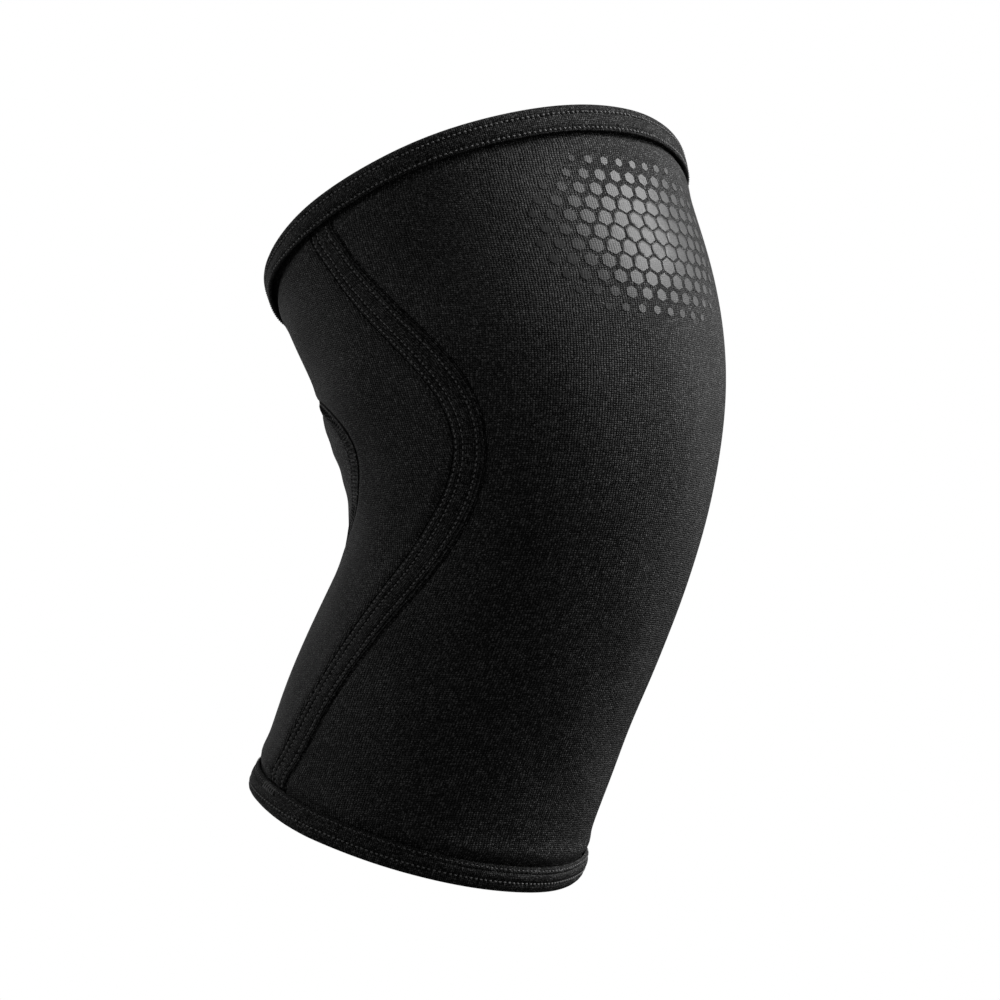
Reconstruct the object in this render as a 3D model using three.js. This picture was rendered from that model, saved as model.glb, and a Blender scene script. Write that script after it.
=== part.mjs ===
// Knee sleeve, worn form: a bent, hollow tube of knit-faced neoprene, open at thigh and calf.
// Millimetres, +Z up the leg, kneecap towards -Y, origin at the centre of the knee joint.
// The front and back panels meet at a stitched band on each side. A window behind the knee
// holds a thinner insert, and a folded binding goes over each rim.
import * as THREE from 'three';
import { mergeVertices } from 'three/addons/utils/BufferGeometryUtils.js';

// Girths inside the sleeve: round the top rim, the kneecap and the bottom rim.
const thighGirth = 468;
const kneeGirth = 400;
const calfGirth = 356;

// Lengths along the leg's bent axis, from the knee's centre to each rim.
const thighLength = 91.5;
const calfLength = 149.5;

// The bend: how far each leg leans back from upright, and the stretch over which the axis turns.
const thighLean = 26.5;
const calfLean = 30;
const bendLength = 150;
const bendDrop = 5;

// Neoprene and the cuts between pieces.
const wall = 5;
const seamGap = 0.3;

// Stitched bands at the sides.
const bandWidth = 12;
const bandWall = 5;

// Window behind the knee: its width round the sleeve, and its height above and below its corners.
const windowWidth = 146;
const windowRise = 60;
const windowDrop = 48;
const cornerDrop = 22;
const insertWall = 3;
const insertRecess = 1.2;

// Folded bindings over the rims.
const bindingHeight = 10.5;
const bindingCloth = 1.2;
const bindingRound = 1.6;

// Facets.
const rowsAbove = 12;
const rowsBelow = 13;
const frontColumns = 30;
const backColumns = 22;
const backRings = 6;
const bandColumns = 2;
const bindingSegments = 56;

const degrees = Math.PI / 180;

// Sections of the sleeve. at: place on the axis as a share of the thigh's length, or of the calf's
// where negative. side, front, back: inner half sizes as shares of the mean radius of the named
// girth. tilt: degrees that the section's plane leans up at the front.
const sections = [
  { at: -1, girth: calfGirth, side: 0.99, front: 1.065, back: 0.965, tilt: -21 },
  { at: -0.835, girth: calfGirth, side: 0.99, front: 1.015, back: 0.99, tilt: -23 },
  { at: -0.635, girth: calfGirth, side: 0.98, front: 0.98, back: 1.005, tilt: -25 },
  { at: -0.4, girth: calfGirth, side: 0.98, front: 0.98, back: 0.955, tilt: -24 },
  { at: -0.2, girth: kneeGirth, side: 0.92, front: 0.925, back: 0.89, tilt: -15 },
  { at: 0, girth: kneeGirth, side: 1.01, front: 1.045, back: 1.03, tilt: 0 },
  { at: 0.33, girth: thighGirth, side: 0.92, front: 0.975, back: 0.9, tilt: 13 },
  { at: 0.655, girth: thighGirth, side: 0.947, front: 1.0, back: 0.933, tilt: 21 },
  { at: 1, girth: thighGirth, side: 0.98, front: 1.06, back: 0.95, tilt: 24 },
];

// Middle line of a side band: degrees round the sleeve from the front's middle.
const bandLine = [
  { at: -1, angle: 106.5 },
  { at: -0.74, angle: 99.6 },
  { at: -0.5, angle: 91 },
  { at: -0.31, angle: 79 },
  { at: -0.15, angle: 67 },
  { at: -0.04, angle: 62.5 },
  { at: 0.09, angle: 65.3 },
  { at: 0.3, angle: 75.5 },
  { at: 0.6, angle: 87 },
  { at: 1, angle: 93 },
];

// Roundness of the window's outline: across it, and above and below its corners.
const windowBow = 3;
const upperFullness = 3;
const lowerFullness = 1.5;

// A natural cubic spline through the points (xs, ys).
function spline(xs, ys) {
  const last = xs.length - 1;
  const bend = new Array(last + 1).fill(0);
  const carry = new Array(last + 1).fill(0);
  for (let i = 1; i < last; i++) {
    const span = xs[i + 1] - xs[i - 1];
    const share = (xs[i] - xs[i - 1]) / span;
    const pivot = share * bend[i - 1] + 2;
    const slopeChange = (ys[i + 1] - ys[i]) / (xs[i + 1] - xs[i])
      - (ys[i] - ys[i - 1]) / (xs[i] - xs[i - 1]);
    bend[i] = (share - 1) / pivot;
    carry[i] = (6 * slopeChange / span - share * carry[i - 1]) / pivot;
  }
  bend[last] = 0;
  for (let i = last - 1; i >= 0; i--) bend[i] = bend[i] * bend[i + 1] + carry[i];
  return (x) => {
    let i = 0;
    while (i < last - 1 && x > xs[i + 1]) i++;
    const step = xs[i + 1] - xs[i];
    const a = (xs[i + 1] - x) / step;
    const b = 1 - a;
    return a * ys[i] + b * ys[i + 1]
      + ((a ** 3 - a) * bend[i] + (b ** 3 - b) * bend[i + 1]) * step ** 2 / 6;
  };
}

// A place in millimetres along the axis, from a share of the thigh's or the calf's length.
const place = (share) => share * (share < 0 ? calfLength : thighLength);

// A smooth curve along the axis through one column of a table.
const along = (rows, value) => spline(rows.map((row) => place(row.at)), rows.map(value));

const innerRadius = (row) => row.girth / (2 * Math.PI);
const sideAt = along(sections, (row) => row.side * innerRadius(row) + wall);
const frontAt = along(sections, (row) => row.front * innerRadius(row) + wall);
const backAt = along(sections, (row) => row.back * innerRadius(row) + wall);
const tiltAt = along(sections, (row) => row.tilt * degrees);
const bandAngleAt = along(bandLine, (row) => row.angle * degrees);

// Lean of the leg's axis: the calf's below the bend, the thigh's above it.
function leanAt(s) {
  const share = (s + bendDrop) / bendLength + 0.5;
  const eased = THREE.MathUtils.smoothstep(share, 0, 1);
  return THREE.MathUtils.lerp(-calfLean, thighLean, eased) * degrees;
}

// The axis, walked outward from the knee's centre in short straight steps.
const walkStep = 0.5;
function walkAxis(end) {
  const direction = Math.sign(end);
  const points = [new THREE.Vector2(0, 0)];
  for (let s = 0; s < Math.abs(end) + walkStep; s += walkStep) {
    const lean = leanAt(direction * (s + walkStep / 2));
    const step = new THREE.Vector2(Math.sin(lean), Math.cos(lean)).multiplyScalar(direction * walkStep);
    points.push(points[points.length - 1].clone().add(step));
  }
  return points;
}
const thighAxis = walkAxis(thighLength);
const calfAxis = walkAxis(-calfLength);

function axisPoint(s) {
  const points = s < 0 ? calfAxis : thighAxis;
  const steps = Math.abs(s) / walkStep;
  const i = Math.min(Math.floor(steps), points.length - 2);
  return points[i].clone().lerp(points[i + 1], steps - i);
}

// A point of the sleeve: turn is the angle from the front's middle towards -X, s the place along
// the axis, and out the distance beyond the outer face.
function surfacePoint(turn, s, out) {
  const centre = axisPoint(s);
  const depth = Math.cos(turn) > 0 ? frontAt(s) : backAt(s);
  const forward = (depth + out) * Math.cos(turn);
  const tilt = tiltAt(s);
  return new THREE.Vector3(
    -(sideAt(s) + out) * Math.sin(turn),
    centre.x - forward * Math.cos(tilt),
    centre.y + forward * Math.sin(tilt),
  );
}

// Millimetres of the outer face to one radian of turn, and to one millimetre of the axis.
const probe = 0.01;
const turnRate = (turn, s) =>
  surfacePoint(turn + probe, s, 0).distanceTo(surfacePoint(turn - probe, s, 0)) / (2 * probe);
const alongRate = (turn, s) =>
  surfacePoint(turn, s + probe, 0).distanceTo(surfacePoint(turn, s - probe, 0)) / (2 * probe);

// Turn of a line that runs beside the band's middle line, so many millimetres towards the back.
function beside(s, distance) {
  const middle = bandAngleAt(s);
  const rate = turnRate(middle, s);
  const slope = (bandAngleAt(s + probe) - bandAngleAt(s - probe)) / (2 * probe) * rate;
  return middle + distance * Math.hypot(1, slope) / rate;
}

// The wall ends inside the binding's fold.
const rimClearance = bindingCloth + seamGap;
const wallTop = thighLength - rimClearance;
const wallBottom = -(calfLength - rimClearance);

// Rows of facets, shared by every panel so that their edges match.
const stations = [];
for (let i = 0; i <= rowsBelow; i++) {
  stations.push(THREE.MathUtils.lerp(wallBottom, -cornerDrop, i / rowsBelow));
}
for (let i = 1; i <= rowsAbove; i++) {
  stations.push(THREE.MathUtils.lerp(-cornerDrop, wallTop, i / rowsAbove));
}

// A closed geometry from points and triangles, turned so that its faces point outward.
const mergeDistance = 1e-4;
function closedGeometry(points, triangles) {
  let volume = 0;
  for (const [a, b, c] of triangles) volume += points[a].dot(points[b].clone().cross(points[c]));
  const outward = volume > 0 ? triangles : triangles.map(([a, b, c]) => [a, c, b]);
  const geometry = new THREE.BufferGeometry();
  const coordinates = points.flatMap((point) => point.toArray());
  geometry.setAttribute('position', new THREE.Float32BufferAttribute(coordinates, 3));
  geometry.setIndex(outward.flat());
  const merged = mergeVertices(geometry, mergeDistance);
  merged.computeVertexNormals();
  return merged;
}

// Two triangles over four points, split along the shorter diagonal.
function split(points, a, b, c, d) {
  const acrossAC = points[a].distanceTo(points[c]);
  const acrossBD = points[b].distanceTo(points[d]);
  return acrossAC < acrossBD ? [[a, b, c], [a, c, d]] : [[a, b, d], [b, c, d]];
}

// A shell over four-sided patches of the sleeve, whose corners are { turn, s }. Its outer face lies
// out beyond the sleeve's, and every open edge gets a wall as deep as the shell is thick.
function shell(patches, out, thickness) {
  const corners = [];
  const numbers = new Map();
  const number = (corner) => {
    const key = `${corner.turn.toFixed(7)} ${corner.s.toFixed(6)}`;
    if (!numbers.has(key)) {
      numbers.set(key, corners.length);
      corners.push(corner);
    }
    return numbers.get(key);
  };
  const quads = patches.map((patch) => patch.map(number));
  const points = [
    ...corners.map(({ turn, s }) => surfacePoint(turn, s, out)),
    ...corners.map(({ turn, s }) => surfacePoint(turn, s, out - thickness)),
  ];
  const sides = ([a, b, c, d]) => [[a, b], [b, c], [c, d], [d, a]];
  const edges = new Set(quads.flatMap((quad) => sides(quad).map(([from, to]) => `${from} ${to}`)));
  const inner = corners.length;
  const triangles = [];
  for (const quad of quads) {
    for (const [a, b, c] of split(points, ...quad)) {
      triangles.push([a, b, c], [a + inner, c + inner, b + inner]);
    }
    for (const [from, to] of sides(quad)) {
      if (edges.has(`${to} ${from}`)) continue;
      triangles.push(...split(points, to, from, from + inner, to + inner));
    }
  }
  return closedGeometry(points, triangles);
}

// Patches between two lines of corners.
function strip(lower, upper) {
  const patches = [];
  for (let i = 0; i + 1 < lower.length; i++) {
    patches.push([lower[i], lower[i + 1], upper[i + 1], upper[i]]);
  }
  return patches;
}

// Patches of a grid given as rows of corners.
const grid = (rows) => rows.slice(1).flatMap((row, i) => strip(rows[i], row));

// One row of equal steps between two turns.
function turnsBetween(s, start, end, steps) {
  const row = [];
  for (let i = 0; i <= steps; i++) row.push({ turn: THREE.MathUtils.lerp(start, end, i / steps), s });
  return row;
}

function frontPanel() {
  const edge = (s) => beside(s, -bandWidth / 2 - seamGap);
  return shell(grid(stations.map((s) => turnsBetween(s, -edge(s), edge(s), frontColumns))), 0, wall);
}

function sideBand(side) {
  const rows = stations.map((s) => {
    const front = beside(s, -bandWidth / 2);
    const back = beside(s, bandWidth / 2);
    return turnsBetween(s, side * front, side * back, bandColumns);
  });
  return shell(grid(rows), (bandWall - wall) / 2, bandWall);
}

// The back panel spans the turns from one band to the other. A place on it is { column, s }, where
// column runs from -1 to 1 across that span with 0 at the back's middle.
const backEdge = (s) => beside(s, bandWidth / 2 + seamGap);
const onBack = ({ column, s }) => ({ turn: Math.PI - column * (Math.PI - backEdge(s)), s });

// The window's corners as columns, and its reach above and below them, all less a margin.
function windowSize(margin) {
  const span = Math.PI - backEdge(-cornerDrop);
  const halfWidth = span * turnRate(Math.PI - span / 2, -cornerDrop);
  const reach = (distance, side) =>
    distance - margin / alongRate(Math.PI, side * distance - cornerDrop);
  return {
    corner: (windowWidth / 2 - margin) / halfWidth,
    rise: reach(windowRise, 1),
    drop: reach(windowDrop, -1),
  };
}

// Share of the way from the window's middle to a place at which its outline is crossed, found by
// halving the stretch that holds it.
const halvings = 40;
function outlineShare({ column, s }, { corner, rise, drop }) {
  const up = s + cornerDrop;
  const across = (Math.abs(column) / corner) ** windowBow;
  const upright = up > 0 ? (up / rise) ** upperFullness : (-up / drop) ** lowerFullness;
  const fullness = up > 0 ? upperFullness : lowerFullness;
  let inside = 0;
  let outside = 1;
  for (let i = 0; i < halvings; i++) {
    const share = (inside + outside) / 2;
    if (across * share ** windowBow + upright * share ** fullness < 1) inside = share;
    else outside = share;
  }
  return inside;
}

// A place moved towards the window's middle by a share.
const drawnIn = ({ column, s }, share) =>
  ({ column: column * share, s: (s + cornerDrop) * share - cornerDrop });

// Places round the whole edge of the back panel, anticlockwise as seen from behind.
function backOutline() {
  const columns = [];
  for (let i = 0; i < backColumns; i++) columns.push(1 - 2 * i / backColumns);
  return [
    ...stations.slice(0, -1).map((s) => ({ column: 1, s })),
    ...columns.map((column) => ({ column, s: wallTop })),
    ...stations.slice(1).reverse().map((s) => ({ column: -1, s })),
    ...columns.map((column) => ({ column: -column, s: wallBottom })),
  ];
}

function backPanel() {
  const size = windowSize(0);
  const rings = [];
  for (let i = 0; i <= backRings; i++) {
    const ring = backOutline().map((place) => {
      const share = THREE.MathUtils.lerp(outlineShare(place, size), 1, i / backRings);
      return onBack(drawnIn(place, share));
    });
    rings.push([...ring, ring[0]]);
  }
  return shell(grid(rings), 0, wall);
}

// The insert's grid is the panel's own, drawn in to the window.
function kneePitInsert() {
  const size = windowSize(seamGap);
  const rows = stations.map((s) => {
    const row = [];
    for (let i = 0; i <= backColumns; i++) {
      const place = { column: 2 * i / backColumns - 1, s };
      const end = s > -cornerDrop ? wallTop : wallBottom;
      const upright = (s + cornerDrop) / (end + cornerDrop);
      const filled = Math.max(Math.abs(place.column), upright, Number.EPSILON);
      row.push(onBack(drawnIn(place, outlineShare(drawnIn(place, 1 / filled), size))));
    }
    return row;
  });
  return shell(grid(rows), -insertRecess, insertWall);
}

// The binding's section, from its outer lower edge over the rim and back inside the fold: out is the
// distance beyond the sleeve's outer face, and drop the distance below the rim.
function bindingSection() {
  const face = seamGap + bindingCloth;
  const back = -wall - face;
  const middle = (face + back) / 2;
  return [
    { out: face, drop: bindingHeight },
    { out: face, drop: bindingRound },
    { out: face - bindingRound / 2, drop: bindingRound / 4 },
    { out: middle, drop: 0 },
    { out: back + bindingRound / 2, drop: bindingRound / 4 },
    { out: back, drop: bindingRound },
    { out: back, drop: bindingHeight },
    { out: back + bindingCloth, drop: bindingHeight },
    { out: back + bindingCloth, drop: bindingCloth },
    { out: seamGap, drop: bindingCloth },
    { out: seamGap, drop: bindingHeight },
  ];
}

// A closed ring of the binding's section round a rim.
function binding(rim) {
  const section = bindingSection();
  const inward = -Math.sign(rim);
  const points = [];
  const triangles = [];
  for (let i = 0; i < bindingSegments; i++) {
    const turn = 2 * Math.PI * i / bindingSegments;
    const next = (i + 1) % bindingSegments;
    section.forEach(({ out, drop }, j) => {
      points.push(surfacePoint(turn, rim + inward * drop, out));
      const beyond = (j + 1) % section.length;
      const [a, b] = [i * section.length + j, next * section.length + j];
      const [c, d] = [next * section.length + beyond, i * section.length + beyond];
      triangles.push([a, b, c], [a, c, d]);
    });
  }
  return closedGeometry(points, triangles);
}

const knit = { color: 0x17181a, roughness: 0.85, metalness: 0 };
const tape = { color: 0x1c1d1f, roughness: 0.8, metalness: 0 };
const mesh = { color: 0x1f2022, roughness: 0.9, metalness: 0 };

function piece(name, geometry, finish) {
  const solid = new THREE.Mesh(geometry, new THREE.MeshStandardMaterial(finish));
  solid.name = name;
  return solid;
}

const sleeve = new THREE.Group();
sleeve.add(piece('front_panel', frontPanel(), knit));
sleeve.add(piece('back_panel', backPanel(), knit));
sleeve.add(piece('knee_pit_insert', kneePitInsert(), mesh));
sleeve.add(piece('side_band_right', sideBand(1), knit));
sleeve.add(piece('side_band_left', sideBand(-1), knit));
sleeve.add(piece('top_binding', binding(thighLength), tape));
sleeve.add(piece('bottom_binding', binding(-calfLength), tape));

export default sleeve;
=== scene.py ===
"""Knee sleeve in its worn bend: the looks of every piece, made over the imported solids.

The surface is worked out in millimetres and turned into metres when a mesh is made. On it, turn is
the angle round the sleeve from the front's middle towards -X, s the place along the leg's bent axis
with 0 at the knee, and out the distance beyond the outer face.
"""

import math

import bpy
import numpy as np
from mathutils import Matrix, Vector


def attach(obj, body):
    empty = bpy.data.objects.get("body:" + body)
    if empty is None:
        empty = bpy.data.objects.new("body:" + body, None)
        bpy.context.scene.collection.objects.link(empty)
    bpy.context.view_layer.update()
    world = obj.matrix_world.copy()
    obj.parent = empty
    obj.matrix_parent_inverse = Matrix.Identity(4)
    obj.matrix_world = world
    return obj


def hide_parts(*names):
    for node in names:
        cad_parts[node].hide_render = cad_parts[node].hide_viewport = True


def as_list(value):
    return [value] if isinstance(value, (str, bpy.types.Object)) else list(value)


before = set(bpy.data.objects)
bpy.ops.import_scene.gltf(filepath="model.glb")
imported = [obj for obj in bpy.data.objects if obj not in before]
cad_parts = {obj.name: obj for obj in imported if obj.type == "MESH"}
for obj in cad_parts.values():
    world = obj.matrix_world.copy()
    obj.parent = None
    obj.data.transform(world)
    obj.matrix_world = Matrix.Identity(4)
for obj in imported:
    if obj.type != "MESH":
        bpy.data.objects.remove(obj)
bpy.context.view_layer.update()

MILLIMETRE = 0.001

# Sizes of the sleeve, as in the part's source, but for the window behind the knee, whose edge is
# drawn a few millimetres further out.
THIGH_GIRTH = 468
KNEE_GIRTH = 400
CALF_GIRTH = 356
THIGH_LENGTH = 91.5
CALF_LENGTH = 149.5
THIGH_LEAN = 26.5
CALF_LEAN = 30
BEND_LENGTH = 150
BEND_DROP = 5
WALL = 5
SEAM_GAP = 0.3
BAND_WIDTH = 12
WINDOW_WIDTH = 154
WINDOW_RISE = 64
WINDOW_DROP = 46
CORNER_DROP = 25
INSERT_WALL = 3
INSERT_RECESS = 1.2
BINDING_HEIGHT = 10.5
BINDING_CLOTH = 1.2

# Sections: place as a share of the thigh's or calf's length, girth, inner half sizes as shares of
# its mean radius at the side, front and back, and tilt in degrees.
SECTIONS = [
    (-1.0, CALF_GIRTH, 0.99, 1.065, 0.965, -21),
    (-0.835, CALF_GIRTH, 0.99, 1.015, 0.99, -23),
    (-0.635, CALF_GIRTH, 0.98, 0.98, 1.005, -25),
    (-0.4, CALF_GIRTH, 0.98, 0.98, 0.955, -24),
    (-0.2, KNEE_GIRTH, 0.92, 0.925, 0.89, -15),
    (0.0, KNEE_GIRTH, 1.01, 1.045, 1.03, 0),
    (0.33, THIGH_GIRTH, 0.92, 0.975, 0.9, 13),
    (0.655, THIGH_GIRTH, 0.947, 1.0, 0.933, 21),
    (1.0, THIGH_GIRTH, 0.98, 1.06, 0.95, 24),
]

# Middle line of a side band: place as a share, and degrees of turn.
BAND_LINE = [
    (-1.0, 106.5), (-0.74, 99.6), (-0.5, 91), (-0.31, 79), (-0.15, 67),
    (-0.04, 62.5), (0.09, 65.3), (0.3, 75.5), (0.6, 87), (1.0, 93),
]

# Roundness of the window's outline: across it, and above and below its corners.
WINDOW_BOW = 3
UPPER_FULLNESS = 3
LOWER_FULLNESS = 1.5


# The surface.

def spline(xs, ys):
    """A natural cubic spline through the points, as a function of an array."""
    last = len(xs) - 1
    bend = np.zeros(last + 1)
    carry = np.zeros(last + 1)
    for i in range(1, last):
        span = xs[i + 1] - xs[i - 1]
        share = (xs[i] - xs[i - 1]) / span
        pivot = share * bend[i - 1] + 2
        change = (ys[i + 1] - ys[i]) / (xs[i + 1] - xs[i]) - (ys[i] - ys[i - 1]) / (xs[i] - xs[i - 1])
        bend[i] = (share - 1) / pivot
        carry[i] = (6 * change / span - share * carry[i - 1]) / pivot
    for i in range(last - 1, -1, -1):
        bend[i] = bend[i] * bend[i + 1] + carry[i]

    def value(x):
        i = np.clip(np.searchsorted(xs, x) - 1, 0, last - 1)
        step = xs[i + 1] - xs[i]
        a = (xs[i + 1] - x) / step
        b = 1 - a
        curve = (a ** 3 - a) * bend[i] + (b ** 3 - b) * bend[i + 1]
        return a * ys[i] + b * ys[i + 1] + curve * step ** 2 / 6

    return value


def along_axis(rows, value):
    """A smooth curve along the axis through one value of each row of a table."""
    places = [row[0] * (CALF_LENGTH if row[0] < 0 else THIGH_LENGTH) for row in rows]
    return spline(np.array(places), np.array([value(row) for row in rows], float))


side_at = along_axis(SECTIONS, lambda row: row[2] * row[1] / (2 * math.pi) + WALL)
front_at = along_axis(SECTIONS, lambda row: row[3] * row[1] / (2 * math.pi) + WALL)
back_at = along_axis(SECTIONS, lambda row: row[4] * row[1] / (2 * math.pi) + WALL)
tilt_at = along_axis(SECTIONS, lambda row: math.radians(row[5]))
band_angle_at = along_axis(BAND_LINE, lambda row: math.radians(row[1]))

AXIS_STEP = 0.5


def smoothstep(x):
    x = np.clip(x, 0, 1)
    return x * x * (3 - 2 * x)


def lean_at(s):
    share = smoothstep((s + BEND_DROP) / BEND_LENGTH + 0.5)
    return np.radians(-CALF_LEAN + (THIGH_LEAN + CALF_LEAN) * share)


def walk_axis(end):
    """Places and points (y, z) of the axis from the knee's centre to past one end."""
    direction = math.copysign(1, end)
    starts = np.arange(0, abs(end) + AXIS_STEP, AXIS_STEP)
    lean = lean_at(direction * (starts + AXIS_STEP / 2))
    steps = direction * AXIS_STEP * np.stack([np.sin(lean), np.cos(lean)], -1)
    points = np.vstack([np.zeros((1, 2)), np.cumsum(steps, 0)])
    return direction * AXIS_STEP * np.arange(len(points)), points


calf_places, calf_points = walk_axis(-CALF_LENGTH)
thigh_places, thigh_points = walk_axis(THIGH_LENGTH)
axis_places = np.concatenate([calf_places[:0:-1], thigh_places])
axis_points = np.concatenate([calf_points[:0:-1], thigh_points])


def surface(turn, s, out=0.0):
    """Points of the sleeve, in millimetres."""
    turn, s, out = np.broadcast_arrays(turn, s, out)
    depth = np.where(np.cos(turn) > 0, front_at(s), back_at(s))
    forward = (depth + out) * np.cos(turn)
    tilt = tilt_at(s)
    return np.stack([
        -(side_at(s) + out) * np.sin(turn),
        np.interp(s, axis_places, axis_points[:, 0]) - forward * np.cos(tilt),
        np.interp(s, axis_places, axis_points[:, 1]) + forward * np.sin(tilt),
    ], -1)


PROBE = 0.01


def turn_rate(turn, s):
    """Millimetres of the outer face to one radian of turn."""
    return np.linalg.norm(surface(turn + PROBE, s) - surface(turn - PROBE, s), axis=-1) / (2 * PROBE)


def along_rate(turn, s):
    """Millimetres of the outer face to one millimetre of the axis."""
    return np.linalg.norm(surface(turn, s + PROBE) - surface(turn, s - PROBE), axis=-1) / (2 * PROBE)


def band_slant(s):
    """Rate of turn at the band's middle line, and how much the line's slant widens the band there."""
    rate = turn_rate(band_angle_at(s), s)
    slope = (band_angle_at(s + PROBE) - band_angle_at(s - PROBE)) / (2 * PROBE) * rate
    return rate, np.hypot(1, slope)


def beside(s, distance):
    """Turn of a line that runs beside the band's middle, so many millimetres towards the back."""
    rate, slant = band_slant(s)
    return band_angle_at(s) + distance * slant / rate


def folded(turn):
    """Turn from the front's middle to either side, 0 to pi."""
    return math.pi - np.abs(math.pi - np.mod(turn, 2 * math.pi))


def band_distance(turn, s):
    """Millimetres from the nearer band's middle towards the back."""
    rate, slant = band_slant(s)
    return (folded(turn) - band_angle_at(s)) * rate / slant


# Lengths on the outer face, for the knit: round the sleeve from the front's middle, and along it
# from the knee.
TABLE_TURNS = np.linspace(0, 2 * math.pi, 541)
TABLE_PLACES = np.linspace(-CALF_LENGTH, THIGH_LENGTH, 242)


def running_length(points, axis):
    """Length of the lines through a grid of points along one of its axes, starting at 0."""
    steps = np.linalg.norm(np.diff(points, axis=axis), axis=-1)
    start = np.zeros_like(np.take(steps, [0], axis))
    return np.concatenate([start, np.cumsum(steps, axis)], axis)


table_points = surface(TABLE_TURNS[None, :], TABLE_PLACES[:, None])
around_table = running_length(table_points, 1)
along_table = running_length(table_points, 0)
knee_row = int(np.argmin(np.abs(TABLE_PLACES)))
along_table = along_table - along_table[knee_row]


def look_up(table, turn, s):
    """Value of a table of places by turns, between its entries."""
    x = np.clip(turn / TABLE_TURNS[1], 0, len(TABLE_TURNS) - 1.001)
    y = (s - TABLE_PLACES[0]) / (TABLE_PLACES[1] - TABLE_PLACES[0])
    y = np.clip(y, 0, len(TABLE_PLACES) - 1.001)
    i, j = y.astype(int), x.astype(int)
    a, b = y - i, x - j
    low = table[i, j] * (1 - b) + table[i, j + 1] * b
    high = table[i + 1, j] * (1 - b) + table[i + 1, j + 1] * b
    return low * (1 - a) + high * a


def front_knit(turn, s):
    """Place in the front panel's knit: across from the front's middle, and along from the knee."""
    turn, s = np.broadcast_arrays(np.asarray(turn, float), np.asarray(s, float))
    across = np.sign(turn) * look_up(around_table, np.abs(turn), s)
    return np.stack([across, look_up(along_table, np.abs(turn), s)], -1)


def back_knit(turn, s):
    """Place in the back panel's knit: across from the back's middle, and along from the knee."""
    turn, s = np.broadcast_arrays(np.asarray(turn, float), np.asarray(s, float))
    middle = look_up(around_table, np.full_like(s, math.pi), s)
    return np.stack([look_up(around_table, turn, s) - middle, look_up(along_table, turn, s)], -1)


# Relief that the pieces share, in millimetres of out.

# Soft waves of the worn cloth: height, waves round the sleeve, radians to a millimetre along it,
# and phase.
WAVES = [
    (0.26, 3, 0.047, 0.4), (0.20, 5, -0.062, 1.9), (0.13, 8, 0.095, 4.0),
    (0.10, 11, -0.13, 2.7), (0.12, 2, 0.15, 0.9),
]

# Creases behind the knee: height, millimetres from one to the next, where their middle lies, and
# how far they reach along the leg and round it. They bow by so much towards the sides, and sway.
CREASE_HEIGHT = 0.55
CREASE_PITCH = 17
CREASE_PLACE = -16
CREASE_REACH = 34
CREASE_SPREAD = 0.75
CREASE_BOW = 4
CREASE_SWAY = 5
CREASE_SWAY_RATE = 2.2


def bell(x, width):
    return np.exp(-(x / width) ** 2)


def bumps(x, rows):
    """Rounded bumps and grooves: height, place and width of each."""
    return sum(height * bell(x - place, width) for height, place, width in rows)


def waves(turn, s):
    total = np.zeros(np.broadcast(turn, s).shape)
    for height, count, rate, phase in WAVES:
        total = total + height * np.sin(count * turn + rate * s + phase)
    aside = math.pi - folded(turn)
    bowed = s + CREASE_SWAY * np.sin(CREASE_SWAY_RATE * aside) + CREASE_BOW * aside ** 2
    crease = np.sin(2 * math.pi * bowed / CREASE_PITCH)
    fading = bell(s - CREASE_PLACE, CREASE_REACH) * bell(aside, CREASE_SPREAD)
    return total + CREASE_HEIGHT * crease * fading


def rim_drop(s):
    """Distance along the axis to the nearer rim."""
    return np.minimum(THIGH_LENGTH - s, s + CALF_LENGTH)


# Height, place and width. Places lie beyond a binding's sewn edge, and beyond a band's seam.
HEM_PRESS = (-1.15, -0.6, 2.6)
THIGH_PUFF = (0.4, 5, 4)
CALF_PUFF = (0.68, 5, 4)
EDGE_BUMPS = [(-0.38, 0, 0.6), (0.2, 3.2, 2.2)]


def hem_press(s):
    """How the wall gives under a binding's sewn edge, and swells just past it."""
    beyond = rim_drop(s) - BINDING_HEIGHT
    puff = np.where(s < 0, bumps(beyond, [CALF_PUFF]), bumps(beyond, [THIGH_PUFF]))
    return bumps(beyond, [HEM_PRESS]) + puff


def panel_relief(turn, s):
    """Relief of the front and back panels: pulled in at the bands' seams, full just beside them."""
    beyond = np.abs(band_distance(turn, s)) - BAND_WIDTH / 2 - SEAM_GAP
    return waves(turn, s) + hem_press(s) + bumps(beyond, EDGE_BUMPS)


# Stitched bands at the sides. Distances lie across the band from its middle towards the back.
# Relief across a band is given as bumps: first its rolled edges, then a ridge with a line beside it
# and two soft rises between the rows of stitches.
BAND_ROWS = (4.9, 2.3, -2.8)
BAND_PITCH = 2.0
BAND_CHANNEL = (0.6, 0.6)
BAND_EDGE = (-0.6, BAND_WIDTH / 2, 0.38)
BAND_BUMPS = [(0.4, -5.25, 0.4), (-0.45, -4.55, 0.26), (0.16, -0.3, 1.5), (0.14, 3.6, 0.8)]

# Share of a channel's depth that comes and goes with the stitches.
NEEDLE_SHARE = 0.28


def sewn(distance, phase, depth, width):
    """The channel that a row of stitches pulls, deepest where the needle goes in."""
    pull = 1 - NEEDLE_SHARE * (1 + np.cos(2 * math.pi * phase))
    return -depth * bell(distance, width) * pull


band_places = np.linspace(-CALF_LENGTH, THIGH_LENGTH, 1200)
band_middle = surface(band_angle_at(band_places), band_places)
band_lengths = running_length(band_middle[None], 1)[0]


def band_length_at(s):
    """Millimetres along the band from its lower end."""
    return np.interp(s, band_places, band_lengths)


def band_phase(s):
    """Stitches along the band from its lower end."""
    return band_length_at(s) / BAND_PITCH


def band_place_at(phase):
    return np.interp(np.asarray(phase) * BAND_PITCH, band_lengths, band_places)


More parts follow.
